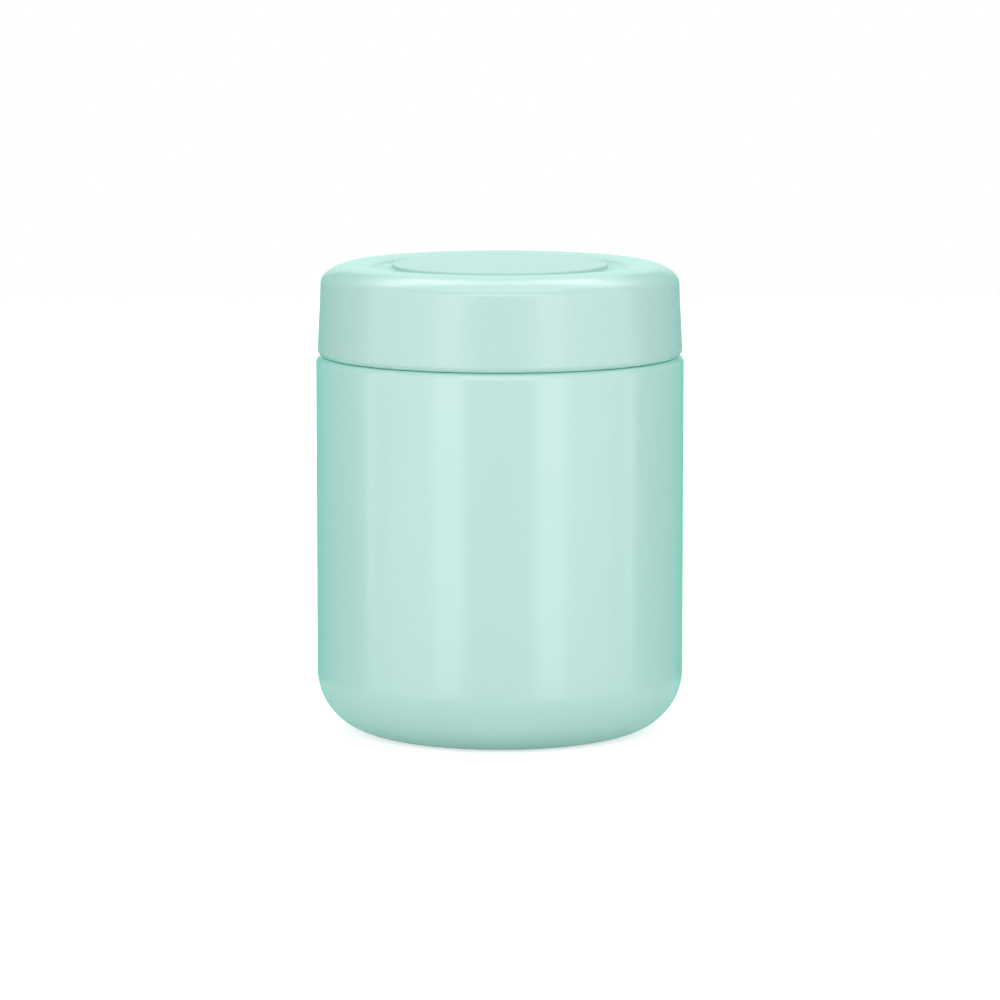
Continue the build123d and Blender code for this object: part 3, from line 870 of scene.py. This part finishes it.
def threaded_lid():
    """Inner lid: plug with a seal bead, flange, threaded skirt, catch and three lugs."""
    bore = stem_radius + sliding
    lug_radius = cover_inside(outer_roof) - running
    catch_radius = lug_radius + sliding
    bead = arc((plug_radius, seal_bead_foot), seal_bead, -90, 180, steps=10)
    plug = rounded([(bore, plug_bottom, 0), (plug_radius, plug_bottom, plug_edge), (*bead[0], 0)])
    outside = rounded(
        [
            (*bead[-1], 0),
            (plug_radius, flange_bottom, flange_edge),
            (skirt_root, flange_bottom, flange_edge),
            (skirt_root, skirt_bottom, skirt_edge),
            (skirt_radius, skirt_bottom, skirt_edge),
            (skirt_radius, catch_bottom, catch_root),
            (catch_radius, catch_bottom, catch_edge),
            (catch_radius, catch_top, catch_edge),
            (skirt_radius, catch_top, skirt_edge),
            (skirt_radius, flange_top, skirt_edge),
            (plug_inner + plate_seat, flange_top, 0),
        ]
    )
    well = rounded(
        [
            (plug_inner + plate_seat, flange_top, 0),
            (plug_inner + plate_seat, plate_bottom, 0),
            (plug_inner, plate_bottom, 0),
            (plug_inner, floor_top, well_corner),
            (bore + boss_wall, floor_top, boss_root),
            (bore + boss_wall, boss_top, boss_edge),
            (bore, boss_top, 0),
        ]
    )
    plug_and_skirt = plug[:-1] + bead + outside[1:-1] + well
    shell = turned("threaded_lid", plug_and_skirt, lid_inner_plastic)
    inwards = ridge_crest - skirt_root
    tooth = [
        (ridge_sink, ridge_foot_half),
        (ridge_sink, -ridge_foot_half),
        (0, -ridge_foot_half),
        (inwards, -ridge_crest_half),
        (inwards, ridge_crest_half),
        (0, ridge_foot_half),
    ]
    low_end = bead_low_end + thread_lead * ridge_lag / 360 - ridge_drop
    way = (skirt_root, thread_lead, ridge_arc, ridge_lag, low_end, thread_starts, ridge_end_scale)
    ridges = helical("lid_ridges", tooth, lid_inner_plastic, *way)
    lug = bar(skirt_root + skirt_wall / 2, lug_radius, lug_foot, flange_top, lug_edge)
    lugs = rib_copies("lid_lugs", lug, lid_inner_plastic, -lug_angle / 2, lug_angle, thread_starts)
    piece("threaded_lid", [shell, ridges, lugs], "inner_lid", ["inner_lid"])


def snap_ring():
    """Ring snapped into the cover's foot, under the inner lid's catch."""
    outer = cover_inside(cover_bottom) + ring_rebate - touch
    section = bar(skirt_radius + running, outer, ring_foot, ring_top, ring_edge)
    ring = turned("snap_ring", section, lid_inner_plastic)
    piece("snap_ring", [ring], "cover", ["retaining_ring"])


def vent_gasket():
    """Silicone disc on the valve stem, with a lip that seals against the plug."""
    lip_inner = vent_radius - 2 * vent_lip
    lip_outer = vent_radius - vent_lip
    lip_top = vent_top + vent_lip_height
    section = rounded(
        [
            (vent_bore, vent_top - vent_thickness, 0),
            (vent_radius, vent_top - vent_thickness, vent_edge),
            (vent_radius, vent_top, vent_edge),
            (lip_outer, vent_top, vent_lip_root),
            (lip_outer, lip_top, vent_lip_edge),
            (lip_inner, lip_top, vent_lip_edge),
            (lip_inner, vent_top, vent_lip_root),
            (vent_bore, vent_top, 0),
        ]
    )
    disc = turned("vent_gasket", section, silicone, vent_segments)
    piece("vent_gasket", [disc], "valve", ["valve_gasket"])


def vent_spring():
    """Coil spring between the boss and the stem's hub."""
    wire = arc((0, 0), spring_wire, 0, 360, steps=14)[:-1]
    radius = stem_radius + sliding + boss_wall / 2
    lead = (spring_height - 2 * spring_wire - 2 * touch) / spring_turns
    low_end = boss_top + spring_wire + touch
    way = (radius, lead, 360 * spring_turns, 0, low_end)
    coil = helical("vent_spring", wire, spring_steel, *way, end_scale=1.0)
    spring = piece("vent_spring", [coil], "inner_lid", ["valve_spring"])
    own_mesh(spring)


def click_ribs():
    """Low tapered ribs under the cover's roof that the click fingers ride over."""
    rows = (
        (roof_level + click_rib_sink, 0),
        (roof_level, 0),
        (roof_level - click_rib_drop, click_rib_taper),
    )
    form = bmesh.new()
    for angle in (-click_rib_margin, click_rib_margin - click_angle):
        for turn in range(click_fingers):
            spin = Matrix.Rotation(math.radians(angle + 360 * turn / click_fingers), 4, "Z")
            corners = []
            for level, inset in rows:
                half_width = click_rib_width / 2 - inset
                half_length = click_rib_length / 2 - inset
                for x, y in ((-1, -1), (1, -1), (1, 1), (-1, 1)):
                    spot = Vector((click_rib_radius + x * half_width, y * half_length, level))
                    corners.append(form.verts.new(spin @ spot))
            form.faces.new(corners[3::-1])
            form.faces.new(corners[8:])
            for row in (corners[:8], corners[4:]):
                for side in range(4):
                    ahead = (side + 1) % 4
                    form.faces.new((row[side], row[ahead], row[4 + ahead], row[4 + side]))
    mesh = bpy.data.meshes.new("click_ribs")
    form.to_mesh(mesh)
    form.free()
    mesh.materials.append(cover_plastic)
    return mesh


def mint_cover():
    """Outer cover of the lid: drafted side, crowned shoulder, dished top and the ribs inside."""
    side_line = cover_radius * math.cos(cover_draft) + cover_bottom * math.sin(cover_draft)
    crest_line = crest_radius * math.cos(cover_draft) + (cover_top - crest_arc) * math.sin(cover_draft)
    turn = math.asin((side_line - side_arc - crest_line) / (crest_arc - side_arc)) - cover_draft
    side_centre = (
        crest_radius + (crest_arc - side_arc) * math.sin(turn),
        cover_top - crest_arc + (crest_arc - side_arc) * math.cos(turn),
    )
    crest_turn = math.degrees(turn)
    side_turn = crest_turn + math.degrees(cover_draft) - 90
    crest = arc((crest_radius, cover_top - crest_arc), crest_arc, 90, -crest_turn, steps=24)
    shoulder = arc(side_centre, side_arc, 90 - crest_turn, side_turn, steps=20)

    rebate = cover_inside(cover_bottom) + ring_rebate
    foot = cover_bottom - groove_step
    side = rounded([tuple(shoulder[-1]) + (0,), (cover_radius, foot, cover_edge), (rebate, foot, 0)])
    inner = rounded(
        [
            (rebate, ring_top, 0),
            (cover_inside(ring_top), ring_top, rebate_edge),
            (cover_inside(outer_roof), outer_roof, roof_corner),
            (crest_radius, outer_roof, bearing_rib_root),
            (crest_radius, flange_top + running, bearing_rib_edge),
            (crest_radius - bearing_rib_width, flange_top + running, bearing_rib_edge),
            (crest_radius - bearing_rib_width, outer_roof, bearing_rib_root),
            (moat_outer + top_wall, outer_roof, moat_wall_bend),
            (moat_outer, roof_level, moat_wall_bend),
            (0, roof_level, 0),
        ]
    )
    seat = [Vector((0, disc_seat)), Vector((moat_inner, disc_seat)), Vector((moat_inner, disc_foot))]
    section = crest + shoulder[1:] + side[1:] + inner + seat + moat_and_dish()[:-1]
    shell = turned("mint_cover", section, cover_plastic, body_segments)
    play = math.degrees(running / (cover_inside(outer_roof) - running))
    rib_outer = cover_inside(outer_roof) + rib_sink
    rib_section = bar(skirt_radius + running, rib_outer, catch_top + running, outer_roof - roof_corner)
    close = lug_angle / 2 + play
    far = -close - click_angle - lug_rib_angle
    lug_ribs = [
        rib_copies("lug_ribs", rib_section, cover_plastic, start, lug_rib_angle, thread_starts)
        for start in (close, far)
    ]
    piece("mint_cover", [shell, *lug_ribs, click_ribs()], "cover", ["lid_cover"])


def moat_and_dish():
    """Line from the foot of the disc's wall, down through the moat and up the dish to the crest."""
    moat_low = (moat_inner + moat_low_point, cover_top - moat_depth)
    moat_top = (moat_outer, cover_top - dish_depth)
    moat = three_point_arc((moat_inner, disc_foot), moat_low, moat_top, steps=14)
    reach = crest_radius - moat_outer
    radius = (reach**2 + dish_depth**2) / (2 * dish_depth)
    sweep = math.degrees(math.asin(reach / radius))
    dish = arc((crest_radius, cover_top - radius), radius, 90, sweep, steps=14)
    return moat + dish[::-1][1:]


def cover_disc():
    """Disc set in the top of the cover, flat, with a small round edge."""
    section = [
        Vector((0, disc_seat)),
        Vector((disc_radius, disc_seat)),
        *arc((disc_radius - disc_edge, disc_top - disc_edge), disc_edge, 0, 90, steps=8),
        Vector((0, disc_top)),
    ]
    disc = turned("cover_disc", section, disc_plastic, body_segments)
    piece("cover_disc", [disc], "cover", ["top_disc"])


painted_body()
foot_plate()
foot_cap()
food_vessel()
threaded_neck()
seal_ring()
threaded_lid()
vent_spring()
vent_gasket()
mint_cover()
cover_disc()
snap_ring()

node_finishes = {
    "seal_plug": braze,
    "foil_wrap": foil,
    "getter_pellet": getter,
    "getter_clip": clip_steel,
    "foam_ring": foam,
    "lid_plate": lid_inner_plastic,
    "click_ring": click_plastic,
    "cam_ring": click_plastic,
    "valve_stem": click_plastic,
}
for node, finish in node_finishes.items():
    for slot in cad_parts[node].material_slots:
        slot.material = finish


# ------------------------------------------------------------------ studio
def floor():
    """Pale floor that is white to the camera and keeps the jar's soft shadow."""
    half_width = 1.2
    lift_to_white = 0.62
    finish, tree, shader = new_finish("floor_paper", (0.82, 0.82, 0.82), 0.9)[:3]
    seen = tree.nodes.new("ShaderNodeLightPath")
    glow = math_node(tree, "MULTIPLY", seen.outputs["Is Camera Ray"], lift_to_white)
    shader.inputs["Emission Color"].default_value = (1, 1, 1, 1)
    tree.links.new(glow, shader.inputs["Emission Strength"])
    mesh = bpy.data.meshes.new("floor")
    form = bmesh.new()
    bmesh.ops.create_grid(form, x_segments=1, y_segments=1, size=half_width)
    form.to_mesh(mesh)
    form.free()
    mesh.materials.append(finish)
    ground = bpy.data.objects.new("floor", mesh)
    ground.visible_glossy = False
    bpy.context.scene.collection.objects.link(ground)


def surroundings(light):
    """World that is white where it is seen or mirrored, and lights the jar at its own level."""
    world = bpy.data.worlds.new("surroundings")
    bpy.context.scene.world = world
    world.use_nodes = True
    tree = world.node_tree
    path = tree.nodes.new("ShaderNodeLightPath")
    seen = math_node(tree, "MAXIMUM", path.outputs["Is Camera Ray"], path.outputs["Is Glossy Ray"])
    seen = math_node(tree, "MAXIMUM", seen, path.outputs["Is Transmission Ray"])
    level = tree.nodes.new("ShaderNodeMapRange")
    level.inputs["To Min"].default_value = light
    level.inputs["To Max"].default_value = 1.0
    tree.links.new(seen, level.inputs["Value"])
    tree.links.new(level.outputs["Result"], tree.nodes["Background"].inputs["Strength"])
    tree.nodes["Background"].inputs["Color"].default_value = (1, 1, 1, 1)


def softbox(name, azimuth, height, distance, size, power, aim=0.1):
    """Rectangular lamp at an azimuth from the camera's side, aimed at a height on the jar's axis."""
    lamp = bpy.data.lights.new(name, "AREA")
    lamp.shape = "RECTANGLE"
    lamp.size, lamp.size_y = size
    lamp.energy = power
    turn = math.radians(azimuth)
    stand = bpy.data.objects.new(name, lamp)
    stand.location = (distance * math.sin(turn), -distance * math.cos(turn), height)
    stand.rotation_euler = (Vector((0, 0, aim)) - stand.location).to_track_quat("-Z", "Y").to_euler()
    bpy.context.scene.collection.objects.link(stand)


def dark_card(name, side):
    """Tall dark card, curved round one side of the jar's back, which keeps the jar's edge clear."""
    low, high = -0.6, 0.9
    form = bmesh.new()
    foot, head = [], []
    for azimuth in range(90, 180, 15):
        turn = math.radians(side * azimuth)
        for row, level in ((foot, low), (head, high)):
            row.append(form.verts.new((math.sin(turn), -math.cos(turn), level)))
    for index in range(len(foot) - 1):
        form.faces.new((foot[index], foot[index + 1], head[index + 1], head[index]))
    set_card(name, form)


def dark_card_below():
    """Round grey card under the floor, which keeps the jar's rounded bottom corner clear."""
    radius, depth = 0.32, 0.05
    form = bmesh.new()
    bmesh.ops.create_circle(form, cap_ends=True, segments=32, radius=radius)
    bmesh.ops.translate(form, verts=form.verts, vec=(0, 0, -depth))
    set_card("dark_card_below", form, glow=0.5)


def set_card(name, form, glow=0.0):
    """Card that is seen only in the jar's gloss."""
    finish, tree, shader = new_finish(name, (0.05, 0.05, 0.05), 0.9)[:3]
    shader.inputs["Emission Color"].default_value = (1, 1, 1, 1)
    shader.inputs["Emission Strength"].default_value = glow
    mesh = bpy.data.meshes.new(name)
    form.to_mesh(mesh)
    form.free()
    mesh.materials.append(finish)
    card = bpy.data.objects.new(name, mesh)
    card.visible_camera = False
    card.visible_diffuse = False
    card.visible_shadow = False
    card.visible_transmission = False
    bpy.context.scene.collection.objects.link(card)


def camera():
    """Camera at the height and tilt that shows a little of the lid's top."""
    distance, height, look_down = 1.25, 0.22915, 7.725
    lens = bpy.data.cameras.new("camera")
    lens.sensor_width = 36
    lens.lens = 175.16
    stand = bpy.data.objects.new("camera", lens)
    stand.location = (0, -distance, height)
    stand.rotation_euler = (math.radians(90 - look_down), 0, 0)
    bpy.context.scene.collection.objects.link(stand)
    bpy.context.scene.camera = stand


# lamps on both sides: name, azimuth, height, distance, (width, height of the box), power, height aimed at
side_lamps = (
    ("key", 31, 0.1, 1.3, (0.42, 1.3), 4.0, 0.1),
    ("wide_strip", 46, 0.1, 1.3, (0.30, 1.3), 0.8, 0.1),
    ("middle", 62, 0.2, 1.3, (0.45, 1.3), 1.1, 0.1),
    ("side", 98, 0.35, 1.2, (0.7, 1.2), 3.0, 0.06),
    ("back", 150, 0.3, 1.3, (0.6, 1.3), 3.0, 0.1),
    ("crest", 142, 1.3, 0.9, (0.9, 0.35), 2.5, 0.1),
)

floor()
surroundings(light=0.25)
for side, turn in (("left", -1), ("right", 1)):
    for name, azimuth, *rest in side_lamps:
        softbox(f"{name}_{side}", turn * azimuth, *rest)
    dark_card(f"dark_card_{side}", turn)
softbox("front", azimuth=0, height=0.90, distance=1.35, size=(1.4, 0.3), power=4.8)
softbox("high", azimuth=0, height=1.2, distance=1.15, size=(1.2, 0.6), power=1.6)
softbox("top", azimuth=0, height=1.5, distance=0.25, size=(1.4, 0.6), power=5.4)
softbox("crest_middle", azimuth=180, height=1.3, distance=0.6, size=(0.9, 0.35), power=2.4)
dark_card_below()
camera()
bpy.context.scene.view_settings.view_transform = "Standard"
